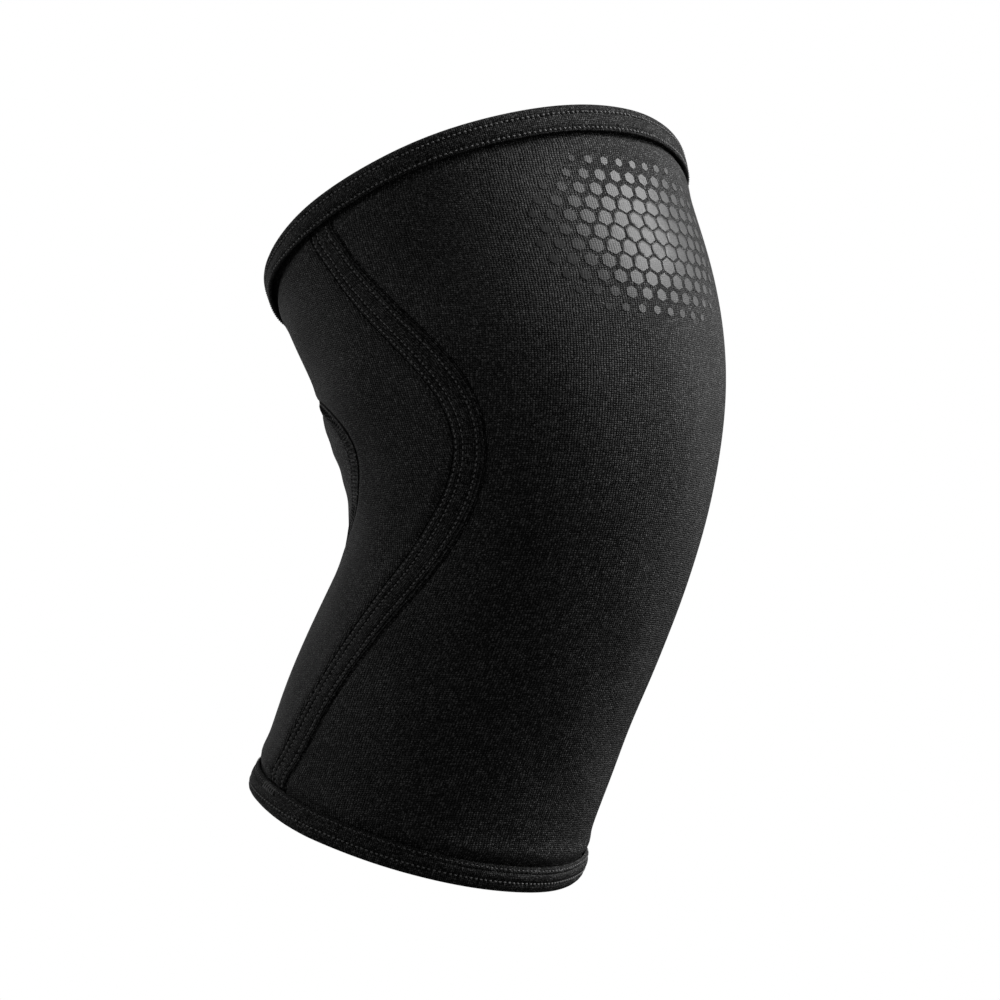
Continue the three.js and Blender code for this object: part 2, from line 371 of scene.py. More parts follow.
def band_relief(side, x, s):
    """Relief of the band on one side: 1 for the side towards -X, -1 for the other."""
    total = waves(side * beside(s, x), s) + hem_press(s)
    total = total + bumps(np.abs(x), [BAND_EDGE]) + bumps(x, BAND_BUMPS)
    for row in BAND_ROWS:
        total = total + sewn(x - row, band_phase(s), *BAND_CHANNEL)
    return total


# Bindings. Distances are drops from the rim along the axis.
BINDING_PITCH = 1.95
BINDING_FACE = SEAM_GAP + BINDING_CLOTH

# Rows of stitches on each binding: drop, shift in stitches, and depth and width of the channel.
BINDING_ROWS = {
    THIGH_LENGTH: [(4.0, 0.0, 0.6, 0.7), (9.5, 0.5, 0.55, 0.7)],
    -CALF_LENGTH: [(4.0, 0.0, 0.65, 0.75), (9.3, 0.5, 0.2, 0.5)],
}

# Swells and grooves on each binding: height, drop and width.
BINDING_BUMPS = {
    THIGH_LENGTH: [(0.22, 6.8, 1.7)],
    -CALF_LENGTH: [(-0.5, 7.9, 0.45), (0.16, 6, 1.1)],
}

# Dense zigzag over a band's end on the bottom binding.
TACK_WIDTH = 9.0
TACK_TOP = 10.0
TACK_BOTTOM = 7.2
TACK_PITCH = 1.6
TACK_DIP = 0.3
TACK_DIP_REACH = 1.3

# Where the top binding's sewn edge stands off the wall: height, middle and spread in radians.
LIFT_HEIGHT = 1.35
LIFT_TURN = 2.06
LIFT_SPREAD = 0.26
LIFT_START = 4.2
LIFT_REACH = 6

# How the bottom binding's sewn edge is pulled in.
TUCK_DEPTH = 0.95
TUCK_START = 7.6
TUCK_REACH = 2.9

# Uneven pull round a binding: height, waves round it, phase, and radians to a millimetre of drop.
PULLS = [(0.12, 5, 1.1, 0.0), (0.1, 9, 0.0, 0.3)]
PULL_PLACE = 5
PULL_REACH = 6


def rim_phase_table(rim):
    turns = np.linspace(0, 2 * math.pi, 2001)
    lengths = running_length(surface(turns, rim, BINDING_FACE)[None], 1)[0]
    count = round(lengths[-1] / BINDING_PITCH)
    return turns, lengths / lengths[-1] * count, count


rim_phases = {rim: rim_phase_table(rim) for rim in (THIGH_LENGTH, -CALF_LENGTH)}


def rim_phase(rim, turn):
    turns, phases, _ = rim_phases[rim]
    return np.interp(np.mod(turn, 2 * math.pi), turns, phases)


def rim_turn_at(rim, phase):
    turns, phases, count = rim_phases[rim]
    return np.interp(np.mod(phase, count), phases, turns)


def binding_relief(rim, turn, drop):
    """Relief of a binding's outer face."""
    pulled = sum(height * np.sin(count * turn + phase + rate * drop)
                 for height, count, phase, rate in PULLS)
    total = waves(turn, np.full_like(turn, rim)) + pulled * bell(drop - PULL_PLACE, PULL_REACH)
    total = total + bumps(drop, BINDING_BUMPS[rim])
    for row, shift, depth, width in BINDING_ROWS[rim]:
        total = total + sewn(drop - row, rim_phase(rim, turn) + shift, depth, width)
    if rim > 0:
        lift = LIFT_HEIGHT * bell(np.mod(turn, 2 * math.pi) - LIFT_TURN, LIFT_SPREAD)
        return total + lift * smoothstep((drop - LIFT_START) / LIFT_REACH)
    place = np.array(rim)
    from_tack = (folded(turn) - band_angle_at(place)) * turn_rate(band_angle_at(place), place)
    dip = bell(drop - (TACK_TOP + TACK_BOTTOM) / 2, TACK_DIP_REACH) * bell(from_tack, TACK_WIDTH / 2)
    return total - TACK_DIP * dip - TUCK_DEPTH * smoothstep((drop - TUCK_START) / TUCK_REACH)


# Meshes.

SHARP_ANGLE = math.radians(50)


def build(name, points, faces, knit, finish, period=None):
    """A mesh object from points in millimetres, four-sided faces of point numbers and a knit place
    for each point, turned so that it faces outward. period is the knit's length round a ring."""
    corners = points[faces]
    volume = np.einsum("ij,ij->", corners[:, 0], np.cross(corners[:, 1], corners[:, 2]))
    volume += np.einsum("ij,ij->", corners[:, 0], np.cross(corners[:, 2], corners[:, 3]))
    if volume < 0:
        faces = faces[:, ::-1]
    places = knit[faces]
    if period:
        behind = places[..., 0].max(1, keepdims=True) - places[..., 0] > period / 2
        places[..., 0] += np.where(behind, period, 0)
    mesh = bpy.data.meshes.new(name)
    mesh.from_pydata((points * MILLIMETRE).tolist(), [], faces.tolist())
    mesh.uv_layers.new(name="knit").data.foreach_set("uv", places.astype(np.float32).ravel())
    mesh.shade_smooth()
    mesh.set_sharp_from_angle(angle=SHARP_ANGLE)
    mesh.materials.append(finish)
    piece = bpy.data.objects.new(name, mesh)
    bpy.context.scene.collection.objects.link(piece)
    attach(piece, "root")
    return piece


def grid_faces(rows, columns, wrap):
    """Faces of a grid of numbered points. wrap joins its last column to its first."""
    number = np.arange(rows * columns).reshape(rows, columns)
    beyond = np.roll(number, -1, 1) if wrap else number[:, 1:]
    here = number if wrap else number[:, :-1]
    quads = [here[:-1], beyond[:-1], beyond[1:], here[1:]]
    return np.stack([corner.ravel() for corner in quads], -1)


def shell(name, outer, inner, knit, finish, wrap=False):
    """A closed wall between two grids of points, rows by columns."""
    rows, columns = outer.shape[:2]
    count = rows * columns
    top = grid_faces(rows, columns, wrap)
    number = np.arange(count).reshape(rows, columns)
    rims = [(number[0], 1), (number[-1], -1)]
    if not wrap:
        rims += [(number[:, 0], -1), (number[:, -1], 1)]
    walls = []
    for rim, side in rims:
        line = np.append(rim, rim[0]) if wrap else rim
        a, b = line[:-1], line[1:]
        wall = np.stack([b, a, a + count, b + count], -1)
        walls.append(wall if side > 0 else wall[:, ::-1])
    faces = np.concatenate([top, top[:, ::-1] + count, *walls])
    points = np.concatenate([outer.reshape(-1, 3), inner.reshape(-1, 3)])
    places = np.concatenate([knit.reshape(-1, 2)] * 2)
    return build(name, points, faces, places, finish)


def ring_tube(name, points, knit, finish, period):
    """A closed ring of sections: points are rings by section, both joined end to end."""
    rings, around = points.shape[:2]
    faces = grid_faces(rings + 1, around, True) % (rings * around)
    return build(name, points.reshape(-1, 3), faces, knit.reshape(-1, 2), finish, period)


def eased(count, crowding):
    """Shares from -1 to 1, closer together towards both ends."""
    x = np.linspace(-1, 1, count)
    return x * (1 + crowding * (1 - x * x))


# Two four-sided faces that close a hexagon.
HEXAGON = np.array([[0, 1, 2, 3], [0, 3, 4, 5]])


def prisms(rings, count):
    """Faces of so many closed six-sided bars, each with so many rings of points."""
    one = np.concatenate([grid_faces(rings, 6, True), HEXAGON[:, ::-1], HEXAGON + 6 * (rings - 1)])
    return (one[None] + 6 * rings * np.arange(count)[:, None, None]).reshape(-1, 4)


THREAD_RINGS = 6
THREAD_TAPER = 0.55


def threads(starts, ends, radius, lift, sink):
    """Arched threads between places (turn, s, out). Returns points, faces and knit places."""
    a = surface(*starts)
    b = surface(*ends)
    middle = [(x + y) / 2 for x, y in zip(starts, ends)]
    normal = surface(middle[0], middle[1], middle[2] + 1) - surface(*middle)
    normal /= np.linalg.norm(normal, axis=-1, keepdims=True)
    run = b - a
    length = np.linalg.norm(run, axis=-1, keepdims=True)
    ahead = run / length
    normal -= ahead * np.sum(normal * ahead, -1, keepdims=True)
    normal /= np.linalg.norm(normal, axis=-1, keepdims=True)
    across = np.cross(ahead, normal)
    share = np.linspace(-1, 1, THREAD_RINGS)
    height = lift * (1 - share ** 2) - sink * share ** 4
    slope = -2 * lift * share - 4 * sink * share ** 3
    thick = radius * np.where(np.abs(share) == 1, THREAD_TAPER, 1.0)
    turns = 2 * math.pi * np.arange(6) / 6
    centre = (a + b)[:, None] / 2 + run[:, None] / 2 * share[:, None]
    centre = centre + normal[:, None] * height[:, None]
    half = length[:, None] / 2
    steep = np.hypot(half, slope[:, None])
    up = (normal[:, None] * half - ahead[:, None] * slope[:, None]) / steep
    ring = up[:, :, None] * np.cos(turns)[:, None] + across[:, None, None] * np.sin(turns)[:, None]
    points = centre[:, :, None] + ring * thick[:, None, None]
    knit = np.stack(np.broadcast_arrays(share[None, :, None] * half, turns / (2 * math.pi)), -1)
    return points.reshape(-1, 3), prisms(THREAD_RINGS, len(a)), knit.reshape(-1, 2)


# Finishes.

# Most of a noise texture's values lie in this range.
NOISE_RANGE = (0.3, 0.7)

# Share of a loop's height that falls off between it and the next one in its column.
BEAD = 0.75


class Finish:
    """A material and short calls for building its nodes. Knit places are in millimetres."""

    def __init__(self, name, **values):
        self.material = bpy.data.materials.new(name)
        self.material.use_nodes = True
        self.tree = self.material.node_tree
        self.shader = self.tree.nodes["Principled BSDF"]
        for socket, value in values.items():
            self.shader.inputs[socket.replace("_", " ")].default_value = value
        self.knit = self.add("ShaderNodeUVMap", uv_map="knit").outputs[0]

    def add(self, kind, inputs=None, **settings):
        node = self.tree.nodes.new(kind)
        for key, value in settings.items():
            setattr(node, key, value)
        for key, value in (inputs or {}).items():
            self.feed(node.inputs[key], value)
        return node

    def feed(self, socket, value):
        if isinstance(value, bpy.types.NodeSocket):
            self.tree.links.new(value, socket)
        else:
            socket.default_value = value

    def math(self, operation, a, b=0.0, c=0.0):
        return self.add("ShaderNodeMath", {0: a, 1: b, 2: c}, operation=operation).outputs[0]

    def vector(self, operation, value, others=None):
        inputs = {0: value, **(others or {})}
        return self.add("ShaderNodeVectorMath", inputs, operation=operation).outputs[0]

    def noise(self, place, scale, detail=2.0, roughness=0.5, output="Fac"):
        """Noise from 0 to 1 with so many cells to a millimetre."""
        inputs = {"Vector": place, "Scale": scale, "Detail": detail, "Roughness": roughness}
        return self.add("ShaderNodeTexNoise", inputs, noise_dimensions="2D").outputs[output]

    def random(self, cell):
        """A random number, 0 to 1, for each cell of whole numbers."""
        inputs = {"Vector": cell}
        return self.add("ShaderNodeTexWhiteNoise", inputs, noise_dimensions="2D").outputs["Value"]

    def spread(self, value, low, high, source=NOISE_RANGE):
        """The value stretched from its own range to another, and kept inside it."""
        inputs = {0: value, 1: source[0], 2: source[1], 3: low, 4: high}
        return self.add("ShaderNodeMapRange", inputs).outputs[0]

    def arch(self, x):
        """Rises and falls once from each whole number to the next."""
        return self.math("SINE", self.math("MULTIPLY", self.math("FRACT", x), math.pi))

    def drifted(self, reach, scale):
        """Knit places moved about a little, so that rows are never quite straight."""
        drift = self.vector("SUBTRACT", self.noise(self.knit, scale, output="Color"), {1: (0.5, 0.5, 0.5)})
        return self.vector("ADD", self.knit, {1: self.vector("SCALE", drift, {"Scale": reach})})

    def loops(self, place, wale, course):
        """Loops of a knit in upright columns: their height and a number of each loop's own, 0 to 1."""
        parts = self.add("ShaderNodeSeparateXYZ", {0: place})
        x = self.math("DIVIDE", parts.outputs[0], wale)
        y = self.math("DIVIDE", parts.outputs[1], course)
        cell = self.add("ShaderNodeCombineXYZ", {0: self.math("FLOOR", x), 1: self.math("FLOOR", y)})
        bead = self.math("MULTIPLY_ADD", self.arch(y), BEAD, 1 - BEAD)
        return self.math("MULTIPLY", self.arch(x), bead), self.random(cell.outputs[0])

    def specks(self, size):
        """A random number, 0 to 1, for each small square of the cloth."""
        return self.random(self.vector("FLOOR", self.vector("SCALE", self.knit, {"Scale": 1 / size})))

    def colour(self, shade, dark, light):
        """A grey between two greys."""
        greys = {6: (dark, dark, dark, 1), 7: (light, light, light, 1)}
        mixed = self.add("ShaderNodeMix", {0: shade, **greys}, data_type="RGBA")
        self.feed(self.shader.inputs["Base Color"], mixed.outputs[2])

    def rough(self, value):
        self.feed(self.shader.inputs["Roughness"], value)

    def bump(self, height, depth):
        """Raises the surface by up to depth millimetres."""
        node = self.add("ShaderNodeBump", {"Height": height, "Distance": depth * MILLIMETRE})
        self.feed(self.shader.inputs["Normal"], node.outputs[0])


# A knit's brightness is a product, with a factor and a floor for each loop's own number, for its
# height, which paints shade into the hollows between loops, and for its fibres. The power makes the
# brightest loops and fibres rare. PATCHES is the range of the broad unevenness, and FULL the product
# at which a spot is brightest.
OWN_FACTOR, OWN_FLOOR = 1.5, 0.5
HEIGHT_FACTOR, HEIGHT_FLOOR = 1.5, 0.08
FIBRE_FACTOR, FIBRE_FLOOR = 2.1, 0.2
RARITY = 1.6
PATCHES = (0.85, 1.12)
PATCH_SCALE = 0.035
FULL = 4.5

# Size of a fibre's speck, and how far fibres stand up beside loops.
FIBRE = 0.38
FIBRE_RISE = 0.3

# The neoprene's knit: millimetres from column to column and from row to row.
WALE = 0.98
COURSE = 0.75
DRIFT = 0.9


def knit_finish(name, dark, light, wale, course, depth, specular, unevenness=1.0):
    """Knitted facing cloth: loops of uneven brightness, with the fine grain of its fibres."""
    finish = Finish(name, Specular_IOR_Level=specular)
    height, own = finish.loops(finish.drifted(DRIFT, 0.22), wale, course)
    fibre = finish.specks(FIBRE)
    level = finish.math("MULTIPLY_ADD", finish.math("POWER", own, RARITY),
                        OWN_FACTOR * unevenness, OWN_FLOOR)
    for factor in (
        # Painted shade: brighter at each loop's crest, darker in the hollows between loops.
        finish.math("MULTIPLY_ADD", height, HEIGHT_FACTOR, HEIGHT_FLOOR),
        finish.math("MULTIPLY_ADD", finish.math("POWER", fibre, RARITY), FIBRE_FACTOR, FIBRE_FLOOR),
        finish.spread(finish.noise(finish.knit, PATCH_SCALE, 3.0, 0.55), *PATCHES),
    ):
        level = finish.math("MULTIPLY", level, factor)
    finish.colour(finish.spread(level, 0.0, 1.0, (0.0, FULL)), dark, light)
    finish.rough(finish.spread(own, 0.42, 0.62, (0.0, 1.0)))
    finish.bump(finish.math("MULTIPLY_ADD", fibre, FIBRE_RISE, height), depth)
    return finish.material


TWIST = 1.6
PLY_RISE = 0.06


def thread_finish(name, dark, light, **values):
    """Sewing thread: plies that twist round it."""
    finish = Finish(name, **values)
    parts = finish.add("ShaderNodeSeparateXYZ", {0: finish.knit})
    twist = finish.math("MULTIPLY_ADD", parts.outputs[0], TWIST, parts.outputs[1])
    ply = finish.math("ABSOLUTE", finish.math("SINE", finish.math("MULTIPLY", twist, 2 * math.pi)))
    fuzz = finish.noise(finish.knit, 3.0, 2.0, 0.7)
    # Painted shade: darker in the grooves between the plies.
    finish.colour(finish.math("MULTIPLY", ply, finish.spread(fuzz, 0.5, 1.2)), dark, light)
    finish.rough(finish.spread(fuzz, 0.45, 0.7))
    finish.bump(ply, PLY_RISE)
    return finish.material


FILM_RISE = 0.05


def print_finish(name, dark, light, **values):
    """A thin glossy film over the knit, which shows through it."""
    finish = Finish(name, **values)
    height, own = finish.loops(finish.drifted(DRIFT, 0.16), WALE, COURSE)
    worn = finish.noise(finish.knit, 0.5, 3.0, 0.6)
    # Painted shade: lighter over the crests of the knit's loops below the film; the worn noise is wear.
    finish.colour(finish.math("MULTIPLY_ADD", height, 0.35, finish.spread(worn, 0.2, 0.65)), dark, light)
    finish.rough(finish.spread(worn, 0.44, 0.52))
    finish.bump(finish.math("MULTIPLY_ADD", own, 0.15, height), FILM_RISE)
    return finish.material


neoprene_knit = knit_finish("neoprene_knit", 0.0008, 0.3, WALE, COURSE, 0.24, 0.2)
insert_knit = knit_finish("insert_knit", 0.002, 0.5, 0.9, 0.6, 0.16, 0.12)
band_knit = knit_finish("band_knit", 0.001, 0.32, 0.7, 0.62, 0.12, 0.06, 0.8)
binding_knit = knit_finish("binding_knit", 0.001, 0.33, 0.74, 0.66, 0.12, 0.06, 0.8)
thread = thread_finish(
    "thread", 0.17, 0.58, Specular_IOR_Level=0.5, Sheen_Weight=0.1, Sheen_Roughness=0.3)
cover_thread = thread_finish(
    "cover_thread", 0.012, 0.06, Specular_IOR_Level=0.3, Sheen_Weight=0.1, Sheen_Roughness=0.3)
seam_thread = thread_finish("seam_thread", 0.003, 0.02, Specular_IOR_Level=0.1)
# A near-black cord that lies in the insert's seam and paints the shade of its gap.
shadow_cord_thread = thread_finish("shadow_cord_thread", 0.001, 0.006, Specular_IOR_Level=0.05)
print_film = print_finish(
    "print_film", 0.068, 0.125, Metallic=0.8,
    Specular_IOR_Level=0.6, Coat_Weight=0.15, Coat_Roughness=0.35)


# Panels. The wall ends inside the bindings' folds.
RIM_CLEARANCE = 2.3
WALL_TOP = THIGH_LENGTH - RIM_CLEARANCE
WALL_BOTTOM = -(CALF_LENGTH - RIM_CLEARANCE)

# Share of the outer face's relief that the inner face takes.
INNER_SHARE = 0.35


def wall_pair(turn, s, relief, out=0.0, thickness=WALL):
    """The outer and inner points of a wall."""
    return surface(turn, s, out + relief), surface(turn, s, out - thickness + INNER_SHARE * relief)


def front_panel():
    rows, columns = 192, 160
    s = np.linspace(WALL_BOTTOM, WALL_TOP, rows)[:, None]
    edge = beside(s, -BAND_WIDTH / 2 - SEAM_GAP)
    turn = edge * eased(columns, 0.38)[None, :]
    s = np.broadcast_to(s, turn.shape)
    outer, inner = wall_pair(turn, s, panel_relief(turn, s))
    return shell("front_panel_cloth", outer, inner, front_knit(turn, s), neoprene_knit)


def back_edge(s):
    return beside(s, BAND_WIDTH / 2 + SEAM_GAP)


def on_back(column, s):
    """Turn at a place of the back panel, whose columns run from -1 to 1 across it."""
    return math.pi - column * (math.pi - back_edge(s))


def back_point(column, s):
    """A point of the outer face at a place of the back panel."""
    return surface(on_back(column, s), s)


def window_size(margin):
    """The window's corners as columns, and its reach above and below them, all less a margin."""
    level = np.array(-CORNER_DROP)
    span = math.pi - back_edge(level)
    half_width = span * turn_rate(math.pi - span / 2, level)
    rise = WINDOW_RISE - margin / along_rate(math.pi, np.array(WINDOW_RISE - CORNER_DROP))
    drop = WINDOW_DROP - margin / along_rate(math.pi, np.array(-WINDOW_DROP - CORNER_DROP))
    return (WINDOW_WIDTH / 2 - margin) / half_width, rise, drop


HALVINGS = 40


def outline_share(column, s, size):
    """Share of the way from the window's middle to a place at which its outline is crossed."""
    corner, rise, drop = size
    up = s + CORNER_DROP
    fullness = np.where(up > 0, UPPER_FULLNESS, LOWER_FULLNESS)
    across = (np.abs(column) / corner) ** WINDOW_BOW
    upright = (np.abs(up) / np.where(up > 0, rise, drop)) ** fullness
    inside, outside = np.zeros(column.shape), np.ones(column.shape)
    for _ in range(HALVINGS):
        share = (inside + outside) / 2
        within = across * share ** WINDOW_BOW + upright * share ** fullness < 1
        inside, outside = np.where(within, share, inside), np.where(within, outside, share)
    return inside


def drawn_in(column, s, share):
    """A place moved towards the window's middle, to a share of its distance from it."""
    return column * share, (s + CORNER_DROP) * share - CORNER_DROP


def wall_reach(up):
    """How far the wall reaches above or below the level of the window's corners."""
    return np.where(up > 0, WALL_TOP + CORNER_DROP, -WALL_BOTTOM - CORNER_DROP)


def back_outline(upright, across):
    """Places round the back panel's whole edge, once round."""
    s = np.linspace(WALL_BOTTOM, WALL_TOP, upright)
    column = eased(across, 0.2)
    columns = [np.full(upright - 1, 1.0), column[:0:-1], np.full(upright - 1, -1.0), column[:-1]]
    places = [s[:-1], np.full(across - 1, WALL_TOP), s[:0:-1], np.full(across - 1, WALL_BOTTOM)]
    return np.concatenate(columns), np.concatenate(places)


# Height, place and width beside the window: its edge is pulled in, and swells just past it.
LIP_BUMPS = [(-0.22, 0, 0.9), (0.1, 3, 2)]


def back_panel():
    column, s = back_outline(156, 112)
    start = outline_share(column, s, window_size(0))
    step = (eased(56, 0.3) + 1) / 2
    share = start + (1 - start) * step[:, None]
    column, s = drawn_in(column, s, share)
    turn = on_back(column, s)
    relief = panel_relief(turn, s) + bumps(running_length(surface(turn, s), 0), LIP_BUMPS)
    outer, inner = wall_pair(turn, s, relief)
    return shell("back_panel_cloth", outer, inner, back_knit(turn, s), neoprene_knit, wrap=True)


# The insert's sewn edge: ribs that the flat seam's threads pull across it, a channel on each side of
# them, each with its height, place and width, and the cloth's rise off the seam.
SEAM_PITCH = 1.7
SEAM_RIBS = (0.24, 4, 1.9)
SEAM_CHANNELS = [(-0.2, 6.9, 0.8), (-0.4, 0, 0.7)]
SEAM_FULLNESS = 0.85
SEAM_SWELL_REACH = 1.9

# Threads of the seam, in millimetres inside the window's edge and along it: the ends of those that
# run across, with their lean, the place and half length of the row that closes them, and half the
# length of a piece of the black cord that paints the seam's shade.
ACROSS_START, ACROSS_END, ACROSS_LEAN = 2.3, 6.0, 0.5
CLOSING_PLACE, CLOSING_HALF = 6.6, 0.55
SHADOW_CORD_HALF = 0.901

# Rings of black cord in the seam, which paint the shade of its gap: distance inside the window's
# edge, and rise off the insert.
SHADOW_CORD_RINGS = ((0.35, 0.55), (1.15, -0.2))


def insert_relief(turn, s, inward, run):
    """Relief of the insert at a distance inside the window's edge and a length along it."""
    ribs = np.cos(2 * math.pi * run / SEAM_PITCH) * bumps(inward, [SEAM_RIBS])
    swell = SEAM_FULLNESS * smoothstep(inward / SEAM_SWELL_REACH)
    return waves(turn, s) + ribs + bumps(inward, SEAM_CHANNELS) + swell


def knee_pit_insert():
    across = eased(124, 0.42)
    column, level = np.meshgrid(across, across)
    s = wall_reach(level) * level - CORNER_DROP
    filled = np.maximum(np.maximum(np.abs(column), np.abs(level)), 1e-9)
    outer_column, outer_s = drawn_in(column, s, 1 / filled)
    share = outline_share(outer_column, outer_s, window_size(SEAM_GAP))
    column, s = drawn_in(column, s, share)
    edge_column, edge_s = drawn_in(outer_column, outer_s, share)
    inward = np.linalg.norm(back_point(column, s) - back_point(edge_column, edge_s), axis=-1)
    turn = on_back(column, s)
    relief = insert_relief(turn, s, inward, seam_length(edge_column, edge_s))
    outer, inner = wall_pair(turn, s, relief, -INSERT_RECESS, INSERT_WALL)
    return shell("knee_pit_cloth", outer, inner, back_knit(turn, s), insert_knit)


# The window's edge as one closed line: angles round its middle, and the length run so far.
EDGE_ANGLES = np.linspace(-math.pi, math.pi, 2401)


def window_edge(angle):
    """Column and place where the insert ends, in a direction from the window's middle."""
    column, up = np.cos(angle), np.sin(angle)
    s = wall_reach(up) * up - CORNER_DROP
    return drawn_in(column, s, outline_share(column, s, window_size(SEAM_GAP)))


def edge_angle(column, s):
    up = s + CORNER_DROP
    return np.arctan2(up / wall_reach(up), column)


edge_columns, edge_places = window_edge(EDGE_ANGLES)
edge_lengths = running_length(back_point(edge_columns, edge_places)[None], 1)[0]


def seam_length(column, s):
    return np.interp(edge_angle(column, s), EDGE_ANGLES, edge_lengths)


def side_band(name, side):
    rows, columns = 450, 45
    s = np.linspace(WALL_BOTTOM, WALL_TOP, rows)[:, None]
    x = BAND_WIDTH / 2 * eased(columns, 0.3)[None, :]
    s, x = np.broadcast_arrays(s, x)
    turn = side * beside(s, x)
    outer = surface(turn, s, band_relief(side, x, s))
    inner = surface(turn, s, -WALL + INNER_SHARE * waves(turn, s))
    knit = np.stack([x, band_length_at(s)], -1)
    return shell(name, outer, inner, knit, band_knit)


def band_place(side, row, phase):
    """A place on a row of the band's stitches."""
    s = band_place_at(phase)
    return side * beside(s, row), s, band_relief(side, np.full_like(s, row), s)


def joined(name, parts, finish):
    """Several fields of threads as one mesh object."""
    points, faces, knit, count = [], [], [], 0
    for part_points, part_faces, part_knit in parts:
        points.append(part_points)
        faces.append(part_faces + count)
        knit.append(part_knit)
        count += len(part_points)
    return build(name, np.concatenate(points), np.concatenate(faces), np.concatenate(knit), finish)


# Half of a stitch's length as a share of the pitch, how far places stray, and the seeds of that.
STITCH_SHARE = 0.26
HEM_STITCH_SHARE = 0.21
STRAY = 0.05
SEAM_STRAY = 0.06
BAND_SEED = 11
BINDING_SEED = 31
SEAM_SEED = 51

# Threads: radius, rise of the middle and sink of the ends.
BAND_THREAD = (0.25, 0.3, 0.12)
COVER_THREAD = (0.15, 0.2, 0.1)
HEM_THREAD = (0.3, 0.32, 0.12)
FINE_HEM_THREAD = (0.165, 0.32, 0.12)
TACK_THREAD = (0.22, 0.4, 0.1)
SEAM_THREAD = (0.26, 0.0, 0.15)
SEAM_ROW_THREAD = (0.18, 0.05, 0.12)
# The last thread is the black cord that paints the shade in the insert's seam.
SHADOW_CORD_THREAD = (0.45, 0.0, 0.0)

# How far a band's stitches run on under the bindings, and how far its cover threads stop short of
# the rows that they lie between.
BAND_TUCK = 2
COVER_INSET = 0.3


def jittered(values, reach, seed):
    return values + np.random.default_rng(seed).uniform(-reach, reach, len(values))


def band_counts():
    """Numbers of the band's stitches, from just under one binding to just under the other."""
    ends = WALL_BOTTOM + BINDING_HEIGHT - BAND_TUCK, WALL_TOP - BINDING_HEIGHT + BAND_TUCK
    first, last = (band_phase(end) for end in ends)
    return np.arange(math.ceil(first), math.floor(last) + 1, dtype=float)


def band_stitches(name, side):
    parts = []
    for number, row in enumerate(BAND_ROWS):
        middle = jittered(band_counts(), STRAY, BAND_SEED + number)
        starts = band_place(side, row, middle - STITCH_SHARE)
        ends = band_place(side, row, middle + STITCH_SHARE)
        parts.append(threads(starts, ends, *BAND_THREAD))
    return joined(name, parts, thread)


def band_cover(name, side):
    """Fine threads that run to and fro between the two rows nearer the back."""
    count = band_counts()
    back, front = BAND_ROWS[0] - COVER_INSET, BAND_ROWS[1] + COVER_INSET
    parts = []
    for shift in (0.0, 0.5):
        starts = band_place(side, back, count + shift)
        ends = band_place(side, front, count + (0.5 - shift))
        parts.append(threads(starts, ends, *COVER_THREAD))
    return joined(name, parts, cover_thread)


# A binding's section: the roll's length along the leg, points up the outside, over the roll, down
# the inside and round each cut end, and the share of the relief on the inside.
ROLL = 3.0
OUTSIDE_STEPS, ROLL_STEPS, INSIDE_STEPS, CAP_STEPS = 27, 13, 10, 6
INSIDE_RELIEF = 0.5

# How much fuller the bottom binding's roll is at the front, and how far up that reaches.
FRONT_ROLL = 1.4
FRONT_ROLL_REACH = 5


def binding(name, rim, rings):
    """A folded binding: its cloth follows a path up the outer face, over the rim and down inside."""
    inner_face = -WALL - BINDING_FACE
    half = BINDING_CLOTH / 2
    middle = (BINDING_FACE + inner_face) / 2
    spread = (BINDING_FACE - inner_face) / 2 - half
    end = BINDING_HEIGHT - half
    outside = np.linspace(end, half + ROLL, OUTSIDE_STEPS, endpoint=False)
    arc = np.linspace(0, math.pi, ROLL_STEPS)
    inside = np.linspace(half + ROLL, end, INSIDE_STEPS + 1)[1:]
    across = np.concatenate([np.ones(OUTSIDE_STEPS), np.cos(arc), -np.ones(INSIDE_STEPS)])
    out = middle + spread * across
    drop = np.concatenate([outside, half + ROLL * (1 - np.sin(arc)), inside])
    ahead = np.stack([np.gradient(out), np.gradient(drop)], -1)
    ahead /= np.linalg.norm(ahead, axis=-1, keepdims=True)
    normal_out, normal_drop = -ahead[:, 1], ahead[:, 0]
    fold = np.arange(0, len(out), 2)[::-1]
    cap = np.linspace(0, math.pi, CAP_STEPS)[1:-1]
    cap_out, cap_drop = -half * np.cos(cap), end + half * np.sin(cap)
    outs = np.concatenate([out + half * normal_out, middle - spread + cap_out,
                           (out - half * normal_out)[fold], middle + spread + cap_out])
    drops = np.concatenate([drop + half * normal_drop, cap_drop,
                            (drop - half * normal_drop)[fold], cap_drop])
    length = np.concatenate([[0], np.cumsum(np.hypot(np.diff(outs), np.diff(drops)))])
    turns, phases, count = rim_phases[rim]
    turn = np.interp(np.arange(rings) / rings * count, phases, turns)[:, None]
    turn, outs, drops, length = np.broadcast_arrays(turn, outs, drops, length)
    if rim < 0:
        fuller = smoothstep(1 - drops / FRONT_ROLL_REACH) * smoothstep(0.5 + np.cos(turn))
        drops = drops - FRONT_ROLL * fuller
    facing = np.clip((outs - middle) / spread, -1, 1)
    relief = binding_relief(rim, turn, drops) * facing
    relief = np.where(facing < 0, INSIDE_RELIEF * relief, relief)
    points = surface(turn, rim - math.copysign(1, rim) * drops, outs + relief)
    knit = np.stack([rim_phase(rim, turn) * BINDING_PITCH, length], -1)
    return ring_tube(name, points, knit, binding_knit, count * BINDING_PITCH)


def binding_place(rim, row, phase):
    """A place on a row of a binding's stitches."""
    turn = rim_turn_at(rim, phase)
    drop = np.full_like(turn, row)
    out = BINDING_FACE + binding_relief(rim, turn, drop)
    return turn, rim - math.copysign(1, rim) * drop, out


def nearest_turns(starts, ends):
    """Ends whose turns don't jump where the count of a rim begins again."""
    turn = starts[0] + (ends[0] - starts[0] + math.pi) % (2 * math.pi) - math.pi
    return (turn, *ends[1:])


